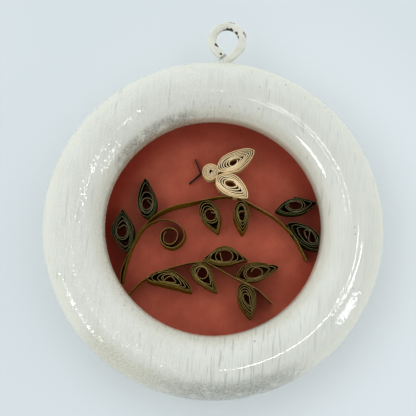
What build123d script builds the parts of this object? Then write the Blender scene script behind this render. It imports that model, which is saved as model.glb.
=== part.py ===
from build123d import *
import math
import os

# Framed quilled picture: a painted wooden ring with a screw eye, a card glued across its back, and
# a spray of leaves with a butterfly, rolled from narrow paper strips that stand on edge on the card.
# Millimetres. The ring's axis is Z, the origin is the ring's centre on the back of the card, and
# the screw eye stands at +Y, where the frame hangs from.

# Wooden ring
ring_outer_diameter = 70.0
ring_section_diameter = 12.7
seat_width = 5.0
facets_per_quarter = 5
facets_to_seat = 4

# Backing card
card_thickness = 0.5
card_margin = 0.85

# Screw eye, bent from one wire
wire_diameter = 1.85
wire_sides = 8
neck_chords = 3
loop_chords = 22
loop_radius = 3.1
neck_bend_radius = 1.2
neck_length = 1.1
loop_end_angle = 253.0
shank_depth = 8.0
point_length = 1.6
point_taper = 24.0
shank_clearance = 0.05

# Paper strips and their glue lines
strip_width = 3.2
strip_thickness = 0.22
glue_gap = 0.05
turn_gap = 0.05
bends_per_turn = 10
last_turn = 0.8

# The picture is drawn for this opening, and its layout grows and shrinks with the ring's own opening
drawn_opening = 44.6

# Butterfly
head_diameter = 3.6
head_eye_radius = 0.35
head_turns = 4.4
wing_eye_radius = 0.65
wing_turns = 4.5
antenna_width = 1.0
antenna_thickness = 0.2

section_radius = ring_section_diameter / 2
ring_mid_radius = (ring_outer_diameter - ring_section_diameter) / 2
opening_diameter = ring_outer_diameter - 2 * ring_section_diameter
seat_angle = math.degrees(math.asin(seat_width / 2 / section_radius))
ring_axis_height = card_thickness + section_radius * math.cos(math.radians(seat_angle))
picture_scale = opening_diameter / drawn_opening
strip_pitch = strip_thickness + turn_gap
wire_radius = wire_diameter / 2

picture_plane = Plane.XY.offset(card_thickness)
os.makedirs("parts", exist_ok=True)


def drawn(x, y):
    """A place in the picture, moved in or out with the ring's opening."""
    return Vector(x * picture_scale, y * picture_scale)


def finish(piece, name):
    piece.part.label = name
    export_step(piece.part, f"parts/{name}.step")


# Ring: a round section, flattened where the card is glued on, turned about the Z axis.
# The round is drawn as short facets, so that its mesh stays light.
def ring_section():
    side_sweep = 90 - seat_angle
    lower_step = side_sweep / facets_to_seat
    upper_step = 90 / facets_per_quarter
    angles = [-side_sweep + i * lower_step for i in range(facets_to_seat)]
    angles += [i * upper_step for i in range(2 * facets_per_quarter + 1)]
    angles += [180 + (i + 1) * lower_step for i in range(facets_to_seat)]
    centre = Vector(ring_mid_radius, ring_axis_height)
    return [centre + Vector(section_radius, 0).rotate(Axis.Z, angle) for angle in angles]


with BuildPart() as frame_ring:
    with BuildSketch(Plane.XZ):
        with BuildLine():
            Polyline(*ring_section(), close=True)
        make_face()
    revolve(axis=Axis.Z)
    # Pilot hole for the screw eye, bored towards the ring's axis
    pilot_mouth = Plane((0, ring_outer_diameter / 2, ring_axis_height), x_dir=(1, 0, 0), z_dir=(0, 1, 0))
    with BuildSketch(pilot_mouth):
        Circle(wire_radius + shank_clearance)
    extrude(amount=-(shank_depth + shank_clearance), mode=Mode.SUBTRACT)
finish(frame_ring, "frame_ring")


# Card: one disc that reaches a little past the ring's flat seat
with BuildPart() as backing_card:
    with BuildSketch():
        Circle(ring_mid_radius + seat_width / 2 + card_margin)
    extrude(amount=card_thickness)
finish(backing_card, "backing_card")


# Screw eye: the wire leaves the ring straight, bends aside and runs round the loop until its cut end
# all but meets the neck again. The screw end is pointed.
neck_start = ring_outer_diameter / 2 + neck_length
loop_rise = math.sqrt(loop_radius**2 + 2 * loop_radius * neck_bend_radius)
loop_start_angle = math.degrees(math.atan2(-loop_rise, neck_bend_radius))
wire_plane = Plane.XY.offset(ring_axis_height)

with BuildLine(wire_plane):
    shank = Line((0, ring_outer_diameter / 2 - shank_depth + point_length), (0, neck_start))
    loop = CenterArc(
        (0, neck_start + loop_rise), loop_radius, loop_start_angle, loop_end_angle - loop_start_angle
    )
    neck = RadiusArc(shank @ 1, loop @ 0, neck_bend_radius)
wire_line = [shank @ 0, shank @ 1]
wire_line += [neck @ ((i + 1) / neck_chords) for i in range(neck_chords)]
wire_line += [loop @ ((i + 1) / loop_chords) for i in range(loop_chords)]

with BuildPart() as screw_eye:
    with BuildLine():
        Polyline(*wire_line)
    with BuildSketch(Plane(shank @ 0, z_dir=shank % 0)):
        RegularPolygon(wire_radius, wire_sides)
    sweep(transition=Transition.RIGHT)
    extrude(faces().sort_by(Axis.Y)[0], amount=point_length, taper=point_taper)
finish(screw_eye, "screw_eye")


# Every strip stands on edge on the card and follows a line drawn on it
def standing_strip(name, path):
    with BuildPart() as strip:
        with BuildSketch(picture_plane):
            with BuildLine():
                add(path)
            trace(line_width=strip_thickness)
        extrude(amount=strip_width)
    finish(strip, name)


# Branches: straight runs joined by gentle bends
def bent_path(corners, bends):
    return FilletPolyline(
        *[drawn(*corner) for corner in corners], radius=[bend * picture_scale for bend in bends]
    )


main_path = bent_path(
    [(-18.2, -13.4), (-18.45, -10.8), (-15.8, -2.8), (-12.4, 2.0), (-8.55, 4.05),
     (3.8, 7.5), (12.9, 3.25), (17.25, -0.35), (20.15, -5.5)],
    [6, 14, 9, 14, 9, 14, 10],
)
lower_path = bent_path(
    [(-16.5, -15.5), (-13.7, -12.1), (-9.3, -9.6), (-5.0, -8.0), (-1.3, -7.15),
     (5.4, -10.2), (10.2, -12.1), (13.7, -14.95)],
    [8, 12, 14, 1.2, 20, 8],
)
standing_strip("main_branch", main_path)
standing_strip("lower_branch", lower_path)


# Tendril: rises along the inner side of the main branch, leaves it and winds into an open curl
def beside(path, at, side, distance):
    """A point at a distance to one side of a path: side is 1 on its left and -1 on its right."""
    tangent = path % at
    return path @ at + Vector(-tangent.Y, tangent.X) * side * distance


tendril_gap = strip_thickness + glue_gap
tendril_joins = 0.125
tendril_leaves = 0.25
tendril_bends = 40
rise = [beside(main_path, at, -1, tendril_gap) for at in (tendril_joins, 0.17, 0.21, tendril_leaves)]
curl = [(-9.9, 0.95), (-5.8, -2.4), (-8.2, -4.95), (-10.7, -2.75), (-8.9, -0.85), (-7.3, -2.4),
        (-8.7, -4.2), (-10.05, -2.5)]


def tangent_chain(points, first_direction):
    edges = []
    direction = first_direction
    for start, end in zip(points, points[1:]):
        edges.append(TangentArc(start, end, tangent=direction))
        direction = edges[-1] % 1
    return edges


root = drawn(-17.75, -12.9)
tendril_edges = [Line(root, rise[0])]
tendril_edges += tangent_chain(rise + [drawn(*place) for place in curl], main_path % tendril_joins)
tendril_line = Wire(tendril_edges)
standing_strip("tendril", Polyline(*[tendril_line @ (i / tendril_bends) for i in range(tendril_bends + 1)]))


# Coils: a strip rolled up, let spring open and pinched into a leaf or a wing. Seen from its eye, the
# outline is a rounded diamond whose powers say how sharply each end is pinched: 2 is round, 1.3 sharp.
def outline_reach(angle, tip, base, left, right, tip_power, base_power):
    """How far the outer face lies from the coil's eye, at an angle in degrees from its tip."""
    along, across = math.cos(math.radians(angle)), math.sin(math.radians(angle))
    length, power = (tip, tip_power) if along > 0 else (base, base_power)
    width = left if across > 0 else right
    return ((abs(along) / length) ** power + (abs(across) / width) ** power) ** (-1 / power)


def side_distance(outline):
    """How closely the outline's straight stretches pass the coil's eye."""
    step = 360 / bends_per_turn
    angles = [i * step for i in range(bends_per_turn)]
    corners = [Vector(outline_reach(angle, **outline), 0).rotate(Axis.Z, angle) for angle in angles]
    stretches = zip(corners, corners[1:] + corners[:1])
    return min(start.cross(end).length / (end - start).length for start, end in stretches)


def coil_points(eye, heading, bend, outline, eye_radius, turns):
    """The strip's middle line, from its outer end at the coil's base to its inner end in the eye.

    The first turn follows the outline close to the second, the next ones draw in to a ring round the
    eye, and a last part of a turn lies inside that ring.
    """
    room = side_distance(outline) - strip_thickness / 2
    shrink = strip_pitch / room
    turns = min(turns, (room - eye_radius) / strip_pitch)
    steps = round((turns + last_turn) * bends_per_turn)
    points = []
    for step in range(steps + 1):
        turned = step / bends_per_turn
        angle = 180 + 360 * turned
        outer = (outline_reach(angle, **outline) - strip_thickness / 2) * (1 - shrink * min(turned, 1))
        drawn_in = min(max(turned - 1, 0) / (turns - 1), 1)
        radius = outer + (eye_radius - outer) * drawn_in - strip_pitch * max(turned - turns, 0)
        around = (angle + 180) % 360 - 180
        skew = bend * abs(around) / 180
        points.append(eye + Vector(radius, 0).rotate(Axis.Z, heading + around + skew))
    return points


def leaf(name, eye, heading, tip, base, left, right, bend=0, powers=(1.4, 1.4), eye_radius=0.9, turns=3):
    sizes = dict(tip=tip, base=base, left=left, right=right)
    outline = {side: size * picture_scale for side, size in sizes.items()}
    outline.update(tip_power=powers[0], base_power=powers[1])
    points = coil_points(drawn(*eye), heading, bend, outline, eye_radius * picture_scale, turns)
    standing_strip(name, Polyline(*points))


leaf("leaf_upper_left", (-14.3, 3.9), 98.5, 6.0, 3.2, 2.25, 2.25, powers=(1.4, 1.8), eye_radius=1.0)
leaf("leaf_lower_left", (-18.95, -2.3), 95, 5.1, 4.3, 2.5, 2.35, bend=12, powers=(1.4, 1.5), eye_radius=1.0)
leaf("leaf_upper_right", (17.15, 5.8), 14.5, 4.8, 4.5, 2.1, 2.0, bend=6.5, powers=(1.35, 1.6), eye_radius=1.0)
leaf("leaf_lower_right", (19.75, -0.1), -31, 3.0, 4.7, 2.1, 2.0, powers=(1.9, 1.45), turns=3.3)
leaf("leaf_hanging_left", (-0.65, 2.25), -65, 4.1, 3.7, 2.1, 2.3, bend=-2.5, powers=(1.4, 1.9))
leaf("leaf_hanging_right", (5.9, 3.2), -83.5, 4.5, 3.1, 1.6, 1.75, powers=(1.4, 1.8), eye_radius=0.75)
leaf("sprig_leaf_left", (-7.8, -12.05), -18, 5.0, 5.0, 2.15, 1.6, bend=14, eye_radius=0.75)
leaf("sprig_leaf_drooping", (-1.6, -9.9), -46, 5.0, 2.7, 1.9, 1.7, bend=10, powers=(1.35, 1.9))
leaf("sprig_leaf_top", (3.3, -5.5), -6, 4.8, 5.0, 2.2, 2.2, bend=14, powers=(1.35, 1.4), eye_radius=1.0)
leaf("sprig_leaf_right", (9.45, -8.7), 18, 5.4, 4.1, 2.2, 2.0, bend=-4, powers=(1.35, 1.8))
leaf("sprig_leaf_bottom", (8.0, -14.8), -73, 4.1, 3.8, 2.0, 1.8, bend=-4, powers=(1.35, 1.8), eye_radius=0.75)


# Butterfly: a tight coil for the head, two wings pinched to a point, and a folded sliver for antennae
head_centre = drawn(-1.4, 11.85)
head_radius = head_diameter / 2 * picture_scale


def head_points():
    inner = head_eye_radius
    outer = head_radius - strip_thickness / 2
    turns = min(head_turns, (outer - inner) / strip_pitch)
    steps = round(turns * bends_per_turn)
    return [
        head_centre + Vector(outer - (outer - inner) * step / steps, 0).rotate(Axis.Z, 360 * step / bends_per_turn)
        for step in range(steps + 1)
    ]


standing_strip("butterfly_head", Polyline(*head_points()))


def wing(name, heading, root_angle, tip, base, left, right, bend):
    outline = {side: size * picture_scale for side, size in dict(tip=tip, base=base, left=left, right=right).items()}
    outline.update(tip_power=1.45, base_power=1.7)
    root = head_centre + Vector(head_radius + glue_gap, 0).rotate(Axis.Z, root_angle)
    eye = root - Vector(outline["base"], 0).rotate(Axis.Z, heading + 180 + bend)
    points = coil_points(eye, heading, bend, outline, wing_eye_radius * picture_scale, wing_turns)
    standing_strip(name, Polyline(*points))


wing("upper_wing", 38, 34, 5.6, 3.4, 2.85, 2.0, -18)
wing("lower_wing", -33, -50, 5.0, 3.2, 2.1, 2.0, 20)

antenna_fold = head_centre + Vector(-(head_radius + glue_gap + antenna_thickness), 0)
with BuildPart() as antennae:
    with BuildSketch(picture_plane):
        with BuildLine():
            Polyline(drawn(-4.95, 14.9), antenna_fold, drawn(-5.8, 9.4))
        trace(line_width=antenna_thickness)
    extrude(amount=antenna_width)
finish(antennae, "antennae")
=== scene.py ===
import bpy
import math
from mathutils import Matrix, Vector, geometry, noise


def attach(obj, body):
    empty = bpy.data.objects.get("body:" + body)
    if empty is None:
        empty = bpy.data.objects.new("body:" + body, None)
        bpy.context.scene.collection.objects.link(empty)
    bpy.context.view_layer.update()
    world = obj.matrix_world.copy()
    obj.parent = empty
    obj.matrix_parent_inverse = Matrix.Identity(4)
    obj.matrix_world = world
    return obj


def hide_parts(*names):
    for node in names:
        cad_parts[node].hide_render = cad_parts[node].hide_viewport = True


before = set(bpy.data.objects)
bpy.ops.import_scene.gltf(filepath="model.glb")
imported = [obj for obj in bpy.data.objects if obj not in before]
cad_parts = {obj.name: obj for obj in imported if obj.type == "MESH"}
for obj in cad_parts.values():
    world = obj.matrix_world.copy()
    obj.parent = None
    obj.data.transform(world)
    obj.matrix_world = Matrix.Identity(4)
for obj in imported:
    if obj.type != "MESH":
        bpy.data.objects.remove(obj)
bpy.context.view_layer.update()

# Painted ring: a wooden ring turned to a round section, with a narrow flat behind where the card is
# glued on. The grain stands up a little under two thick coats of off-white gloss paint, which has
# yellowed at the lower left and is rubbed and speckled at the inner left and along the foot. The foot
# is also painted darker as shade, and the inner wall under the overhang is painted dark brown as shade.
mm = 0.001
ring_mid_radius = 28.65 * mm
ring_section_radius = 6.35 * mm
ring_height = 6.337 * mm
card_top = 0.5 * mm
section_points = 80
steps_around = 256
hair = 0.01 * mm
crease_angle = math.radians(40)


def clear_selection():
    """Leave edit mode and let go of everything that is selected."""
    if bpy.context.object and bpy.context.object.mode != "OBJECT":
        bpy.ops.object.mode_set(mode="OBJECT")
    bpy.ops.object.select_all(action="DESELECT")


def settle(piece):
    """Put the finished piece's place and turn into its mesh."""
    clear_selection()
    bpy.context.view_layer.objects.active = piece
    piece.select_set(True)
    bpy.ops.object.transform_apply(location=True, rotation=True, scale=True)


def press_with_lumps(piece, size, height):
    """Uneven paint: push the surface in and out by a soft cloud pattern."""
    clouds = bpy.data.textures.new(piece.name + "_lumps", "CLOUDS")
    clouds.noise_scale = size
    lumps = piece.modifiers.new("lumps", "DISPLACE")
    lumps.texture = clouds
    lumps.strength = height
    lumps.texture_coords = "LOCAL"
    bpy.context.view_layer.objects.active = piece
    bpy.ops.object.modifier_apply(modifier=lumps.name)


clear_selection()
bpy.ops.mesh.primitive_circle_add(
    vertices=section_points,
    radius=ring_section_radius,
    location=(ring_mid_radius, 0, ring_height),
    rotation=(math.pi / 2, 0, 0),
)
ring = bpy.context.object
ring.name = "painted_ring"
settle(ring)
bpy.ops.object.mode_set(mode="EDIT")
bpy.ops.mesh.select_all(action="SELECT")
bpy.ops.mesh.bisect(plane_co=(0, 0, card_top), plane_no=(0, 0, 1), clear_inner=True)
bpy.ops.object.mode_set(mode="OBJECT")
for corner in ring.data.vertices:
    corner.select = corner.co.z < card_top + hair
bpy.ops.object.mode_set(mode="EDIT")
bpy.ops.mesh.edge_face_add()
bpy.ops.mesh.select_all(action="SELECT")
bpy.ops.mesh.spin(steps=steps_around, angle=math.tau, center=(0, 0, 0), axis=(0, 0, 1))
bpy.ops.mesh.select_all(action="SELECT")
bpy.ops.mesh.remove_doubles(threshold=hair)
bpy.ops.mesh.normals_make_consistent(inside=False)
bpy.ops.object.mode_set(mode="OBJECT")
press_with_lumps(ring, size=7 * mm, height=0.12 * mm)
bpy.ops.object.shade_smooth_by_angle(angle=crease_angle)


class Nodes:
    """The nodes of a finish or of the room's light, added and joined by short calls."""

    def __init__(self, owner, coordinates):
        owner.use_nodes = True
        self.tree = owner.node_tree
        self.place = self.add("ShaderNodeTexCoord").outputs[coordinates]

    def add(self, kind, settings=None, **inputs):
        """Add a node with its settings and with what goes into its sockets."""
        node = self.tree.nodes.new(kind)
        for name, value in (settings or {}).items():
            setattr(node, name, value)
        for name, value in inputs.items():
            self.set(node, name.replace("_", " "), value)
        return node

    def set(self, node, socket, value):
        """Join an output to the socket, or write a plain value into it."""
        if isinstance(value, bpy.types.NodeSocket):
            self.tree.links.new(value, node.inputs[socket])
        else:
            node.inputs[socket].default_value = value

    def combine(self, operation, *values, clamp=True):
        """One step of arithmetic with patterns and plain values."""
        node = self.add("ShaderNodeMath", {"operation": operation, "use_clamp": clamp})
        for socket, value in enumerate(values):
            self.set(node, socket, value)
        return node.outputs[0]

    def overlap(self, first, *others):
        """Where all of the patterns are: each is multiplied by the next."""
        for other in others:
            first = self.combine("MULTIPLY", first, other)
        return first

    def either(self, first, *others):
        """Where any of the patterns is: the largest of them."""
        for other in others:
            first = self.combine("MAXIMUM", first, other)
        return first

    def along(self, axis):
        """How far each point lies along the X, Y or Z axis."""
        return self.add("ShaderNodeSeparateXYZ", Vector=self.place).outputs[axis]

    def length(self, place):
        """How far each point of the coordinates lies from their origin."""
        node = self.add("ShaderNodeVectorMath", {"operation": "LENGTH"})
        self.set(node, 0, place)
        return node.outputs["Value"]

    def band(self, value, low, high, out_low=0.0, out_high=1.0):
        """A soft step: out_low up to low, then changing to out_high at high."""
        node = self.add("ShaderNodeMapRange", {"interpolation_type": "SMOOTHSTEP"}, Value=value)
        limits = {"From Min": low, "From Max": high, "To Min": out_low, "To Max": out_high}
        for socket, limit in limits.items():
            node.inputs[socket].default_value = limit
        return node.outputs[0]

    def eased(self, pattern, at_0, at_1):
        """The pattern brought from the range of 0 to 1 into another one."""
        return self.band(pattern, 0.0, 1.0, at_0, at_1)

    def mix(self, amount, under, over):
        """One colour over another by an amount, each a plain colour or an output."""
        node = self.add("ShaderNodeMix", {"data_type": "RGBA"})
        self.set(node, "Factor", amount)
        for socket, colour in ((6, under), (7, over)):
            self.set(node, socket, colour if isinstance(colour, bpy.types.NodeSocket) else (*colour, 1.0))
        return node.outputs[2]


class Finish(Nodes):
    """A material under construction, on the piece's own coordinates."""

    def __init__(self, name, **sockets):
        self.material = bpy.data.materials.new(name)
        super().__init__(self.material, "Object")
        self.shader = self.tree.nodes["Principled BSDF"]
        self.give(**sockets)

    def give(self, **sockets):
        """Join patterns to the shader's own sockets, or write plain values into them."""
        for name, value in sockets.items():
            self.set(self.shader, name.replace("_", " "), value)

    def stretched(self, scale, turn=0.0):
        """The piece's own coordinates, stretched to give grain and strokes a direction."""
        return self.add("ShaderNodeMapping", Vector=self.place, Rotation=(0, 0, turn), Scale=scale).outputs[0]

    def clouds(self, scale, place=None, detail=4.0, rough=0.5):
        """A cloudy pattern with as many clouds to the metre as the scale says."""
        place = place or self.place
        node = self.add("ShaderNodeTexNoise", Vector=place, Scale=scale, Detail=detail, Roughness=rough)
        return node.outputs["Fac"]

    def near(self, centre, inner, outer):
        """1 within the inner distance of a point on the piece, falling to 0 at the outer, all in mm."""
        node = self.add("ShaderNodeVectorMath", {"operation": "DISTANCE"})
        self.set(node, 0, self.place)
        node.inputs[1].default_value = [coordinate * mm for coordinate in centre]
        return self.band(node.outputs["Value"], inner * mm, outer * mm, 1.0, 0.0)

    def tint(self, under, colour, pattern, share):
        """Lay a colour over another where a pattern is, and by no more than the share."""
        return self.mix(self.overlap(pattern, share), under, colour)

    def bump(self, height, distance, onto=None):
        """Raise the surface by a pattern, on top of an earlier bump."""
        node = self.add("ShaderNodeBump", Height=height, Distance=distance, Strength=1.0)
        if onto:
            self.set(node, "Normal", onto)
        return node.outputs[0]

    def wear(self, piece):
        """Give the piece this finish alone."""
        piece.data.materials.clear()
        piece.data.materials.append(self.material)


gloss = Finish("gloss_paint", IOR=1.5, Specular_IOR_Level=0.12, Coat_Roughness=0.06)

# The parts of the ring where the paint differs.
from_axis = gloss.length(gloss.stretched((1, 1, 0)))
height = gloss.along("Z")
rim = gloss.band(from_axis, 23.2 * mm, 24.5 * mm, 1.0, 0.0)
inner_wall = gloss.band(from_axis, 23.2 * mm, 25.6 * mm, 1.0, 0.0)
outer_wall = gloss.band(from_axis, 31.0 * mm, 33.6 * mm)
left_side = gloss.band(gloss.along("X"), -10 * mm, 6 * mm, 1.0, 0.0)
# Painted shade: the inner wall below the overhang turns dark brown, which also dims the light it throws onto
# the card.
undercut_shade = gloss.overlap(gloss.band(height, 2.5 * mm, 6.3 * mm, 1.0, 0.0), inner_wall)
fine_side = gloss.near((17, -20, 12), 16, 32)
cracked = gloss.near((9, -28, 11), 6, 15)
pebbled = gloss.near((-21, 15, 12), 9, 15)
scuffed = gloss.near((28.5, -14.5, 11.8), 3, 6.5)
yellowed = gloss.overlap(
    gloss.near((-15, -28.5, 10.5), 5.0, 14.0),
    gloss.band(from_axis, 29.0 * mm, 32.5 * mm),
)

# Grain, checks and cracks run up and down the picture, as the fibres of the wood do.
grain = gloss.clouds(3000, gloss.stretched((1.0, 0.05, 0.4)), rough=0.6)
grain_lines = gloss.clouds(1500, gloss.stretched((1.0, 0.04, 0.3)), detail=2.0)
checks = gloss.band(grain_lines, 0.645, 0.69)
crack_lines = gloss.clouds(2600, gloss.stretched((1.0, 0.06, 0.05)), detail=1.0)
cracks = gloss.overlap(gloss.band(crack_lines, 0.61, 0.65), cracked)

# The paint dried to an uneven skin, smoothest at the lower right. Small spots on the left side are
# dull, which breaks up the glints there, and one patch at the right is rubbed matt.
uneven = gloss.overlap(
    gloss.eased(fine_side, 1.0, 0.08),
    gloss.eased(outer_wall, 1.0, 0.6),
    gloss.eased(left_side, 0.35, 1.0),
)
uneven = gloss.combine("MULTIPLY_ADD", gloss.either(scuffed, yellowed, pebbled), 0.9, uneven)
peel = gloss.overlap(gloss.clouds(1900, gloss.stretched((1.0, 0.7, 1.0)), detail=0.8), uneven)
dulled = gloss.overlap(
    gloss.band(gloss.clouds(1900, detail=0.6), 0.455, 0.475),
    gloss.band(left_side, 0.0, 0.7, 0.0, 0.97),
    gloss.band(from_axis, 31.0 * mm, 33.0 * mm, 1.0, 0.0),
)
rubbed_matt = gloss.overlap(
    gloss.near((30.8, 2.5, 12.3), 4, 6),
    gloss.band(from_axis, 29.05 * mm, 29.35 * mm),
)

# Worn patches, with dark speckles in them. The patch along the foot is also painted darker, as shade
# on the wall that faces away from the light.
speckle = gloss.band(gloss.clouds(3900, detail=2.0, rough=0.7), 0.44, 0.58)
blotch = gloss.band(gloss.clouds(500, detail=3.0, rough=0.6), 0.28, 0.52)
rubbed = gloss.overlap(gloss.near((-14.2, 18.1, 8.5), 7.0, 12.5), rim)
# The foot: rubbed and speckled, and painted darker as shade where the outer wall faces away from the light.
foot_wear_and_shade = gloss.overlap(
    gloss.near((6, -34, 9), 6, 20),
    gloss.band(from_axis, 29.8 * mm, 32.8 * mm),
    gloss.band(height, 2.0 * mm, 6.0 * mm),
)
worn = gloss.overlap(gloss.combine("ADD", rubbed, foot_wear_and_shade), blotch)
rough_skin = gloss.overlap(worn, speckle)
# A thin brownish line along the edge of the opening.
edge_line = gloss.band(from_axis, 22.35 * mm, 22.75 * mm, 0.6, 0.0)
specks = gloss.add("ShaderNodeTexVoronoi", Vector=gloss.place, Scale=190.0)
speck = gloss.band(specks.outputs["Distance"], 0.03, 0.06, 1.0, 0.0)
some_of_them = gloss.band(gloss.clouds(60), 0.58, 0.62)

tone = gloss.band(gloss.clouds(90, detail=3.0), 0.35, 0.7)
paint = gloss.mix(tone, (0.68, 0.695, 0.632), (0.715, 0.73, 0.672))
for pattern, share, colour in (
    (outer_wall, 0.5, (0.76, 0.745, 0.61)),
    (inner_wall, 0.45, (0.72, 0.70, 0.58)),
    (gloss.band(grain, 0.42, 0.70), gloss.eased(outer_wall, 0.28, 0.12), (0.50, 0.505, 0.455)),
    (checks, 0.22, (0.27, 0.27, 0.24)),
    (cracks, 0.32, (0.25, 0.25, 0.22)),
    (yellowed, 0.5, (0.60, 0.59, 0.46)),
    (gloss.overlap(yellowed, speckle), 0.4, (0.28, 0.27, 0.18)),
    (worn, 0.25, (0.40, 0.41, 0.36)),
    # painted shade along the foot, on top of its wear
    (foot_wear_and_shade, 0.45, (0.40, 0.41, 0.37)),
    (rough_skin, 0.68, (0.20, 0.20, 0.17)),
    (edge_line, 1.0, (0.42, 0.34, 0.22)),
    (speck, some_of_them, (0.10, 0.09, 0.08)),
):
    paint = gloss.tint(paint, colour, pattern, share)

# Pinholes in the paint: place and size in mm, and how dark each one is.
pinholes = (
    (1.63, 24.22, 10.94, 0.30, 0.8),
    (1.05, 24.1, 10.9, 0.25, 0.35),
    (0.0, 23.95, 10.7, 0.28, 0.35),
    (-2.4, 23.9, 10.7, 0.30, 0.4),
    (12.76, 29.54, 11.62, 0.30, 0.7),
    (7.35, 28.31, 12.66, 0.28, 0.35),
    (27.95, 0.95, 12.66, 0.28, 0.5),
    (28.1, -0.4, 12.66, 0.28, 0.5),
)
for x, y, z, size, depth in pinholes:
    paint = gloss.tint(paint, (0.10, 0.10, 0.08), gloss.near((x, y, z), 0.0, size), depth)
# Painted shade on the inner wall under the overhang.
paint = gloss.mix(undercut_shade, paint, (0.20, 0.17, 0.12))

skin = None
for pattern, depth in ((peel, 0.06), (grain, 0.006), (checks, 0.02), (rough_skin, 0.05)):
    skin = gloss.bump(pattern, depth * mm, onto=skin)
gloss.give(
    Base_Color=paint,
    Roughness=gloss.band(peel, 0.3, 0.8, 0.35, 0.5),
    Coat_Weight=gloss.combine("SUBTRACT", 1.0, gloss.either(dulled, rubbed_matt)),
    Normal=skin,
    Coat_Normal=skin,
)
gloss.wear(ring)
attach(ring, "root")
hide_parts("frame_ring")


# Screw eye: one steel wire, bent round into an eye and screwed into the ring's top edge before the
# ring was painted. The paint has chipped off inside the eye and by the cut end, where rust shows.
wire_radius = 0.925 * mm
wire_sides = 28
loop_radius = 3.3 * mm
loop_steps = 72
loop_turn = 0.75 * math.tau
neck_bend_radius = 1.2 * mm
neck_bend_steps = 8
shank_start = 28.6 * mm
neck_start = 35.28 * mm
slant = math.radians(45)
end_length = 2.15 * mm
end_round = 0.18 * mm
straight_length = loop_radius - neck_bend_radius * math.tan(slant / 2)
loop_rise = neck_bend_radius * math.sin(slant) + (straight_length + loop_radius) * math.sin(slant)
up_the_side = Vector((math.sin(slant), math.cos(slant), 0))
back_down = Vector((up_the_side.y, -up_the_side.x, 0))

clear_selection()
bpy.ops.mesh.primitive_circle_add(
    vertices=wire_sides,
    radius=wire_radius,
    fill_type="NGON",
    location=(0, shank_start, ring_height),
    rotation=(-math.pi / 2, 0, 0),
)
wire = bpy.context.object
wire.name = "painted_screw_eye"
settle(wire)
bpy.ops.object.mode_set(mode="EDIT")
bpy.ops.mesh.select_all(action="SELECT")
bpy.ops.mesh.extrude_region_move(TRANSFORM_OT_translate={"value": (0, neck_start - shank_start, 0)})
neck_centre = (neck_bend_radius, neck_start, ring_height)
bpy.ops.mesh.spin(steps=neck_bend_steps, angle=slant, center=neck_centre, axis=(0, 0, 1))
bpy.ops.mesh.extrude_region_move(TRANSFORM_OT_translate={"value": up_the_side * straight_length})
loop_centre = (0, neck_start + loop_rise, ring_height)
bpy.ops.mesh.spin(steps=loop_steps, angle=-loop_turn, center=loop_centre, axis=(0, 0, 1))
bpy.ops.mesh.extrude_region_move(TRANSFORM_OT_translate={"value": back_down * end_length})
bpy.ops.mesh.inset(thickness=end_round)
bpy.ops.mesh.select_all(action="SELECT")
bpy.ops.mesh.remove_doubles(threshold=hair / 2)
bpy.ops.mesh.normals_make_consistent(inside=False)
bpy.ops.object.mode_set(mode="OBJECT")
press_with_lumps(wire, size=1.6 * mm, height=0.14 * mm)
bpy.ops.object.shade_smooth_by_angle(angle=math.radians(45))

wire_paint = Finish("chipped_wire_paint", IOR=1.5, Coat_Weight=0.25, Coat_Roughness=0.15)
paint_tone = wire_paint.band(wire_paint.clouds(300), 0.3, 0.7)
ragged_edge = wire_paint.band(wire_paint.clouds(1300, rough=0.65), 0.3, 0.7)


def chipped(spots):
    """Ragged bare spots, each given by its place and size in mm: blurred dots, cut off unevenly."""
    dots = wire_paint.either(*[wire_paint.near((x, y, z), 0.0, size) for x, y, z, size in spots])
    ragged = wire_paint.combine("MULTIPLY_ADD", ragged_edge, 0.5, -0.25)
    return wire_paint.band(wire_paint.combine("ADD", dots, ragged, clamp=False), 0.42, 0.55)


bare = chipped([
    (-0.1, 42.8, 6.6, 0.85), (0.6, 42.75, 6.6, 0.95), (-0.75, 42.6, 6.5, 0.6), (1.75, 42.05, 6.8, 0.8),
    (2.3, 41.3, 6.5, 0.7), (-2.35, 39.0, 7.0, 0.75), (-2.0, 38.8, 6.9, 0.6), (-0.15, 36.95, 6.9, 0.55),
    (-0.95, 36.2, 6.9, 0.6), (-1.15, 36.95, 7.2, 0.5),
])
rust = chipped([(0.5, 44.6, 6.9, 1.0), (3.6, 42.2, 6.9, 0.85), (3.9, 41.6, 6.8, 0.7), (1.1, 44.5, 6.7, 0.9)])
paint = wire_paint.mix(paint_tone, (0.64, 0.645, 0.555), (0.745, 0.745, 0.66))
paint = wire_paint.tint(paint, (0.20, 0.09, 0.06), rust, 0.85)
paint = wire_paint.mix(bare, paint, (0.03, 0.022, 0.018))
skin = wire_paint.bump(wire_paint.clouds(900), 0.05 * mm)
skin = wire_paint.bump(wire_paint.combine("SUBTRACT", 1.0, bare), 0.06 * mm, onto=skin)
wire_paint.give(Base_Color=paint, Roughness=wire_paint.eased(bare, 0.33, 0.6), Normal=skin)
wire_paint.wear(wire)
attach(wire, "root")
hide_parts("screw_eye")


# Backing card: one disc of rust red card, glued across the ring's back. Its face is matt, with the
# soft mottle, flecks and short fibres of uncoated card, and shade is painted on it near the ring's
# wall, most at the left and not at the bottom.
card = Finish("rust_red_card", Roughness=0.95, Specular_IOR_Level=0.04)
mottle = card.band(card.clouds(220, detail=5.0, rough=0.6), 0.3, 0.7)
flecks = card.band(card.clouds(1100, detail=3.0, rough=0.7), 0.5, 0.72)
fibres = card.clouds(2600, card.stretched((1.0, 0.35, 1.0), turn=0.6), rough=0.7)
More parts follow.
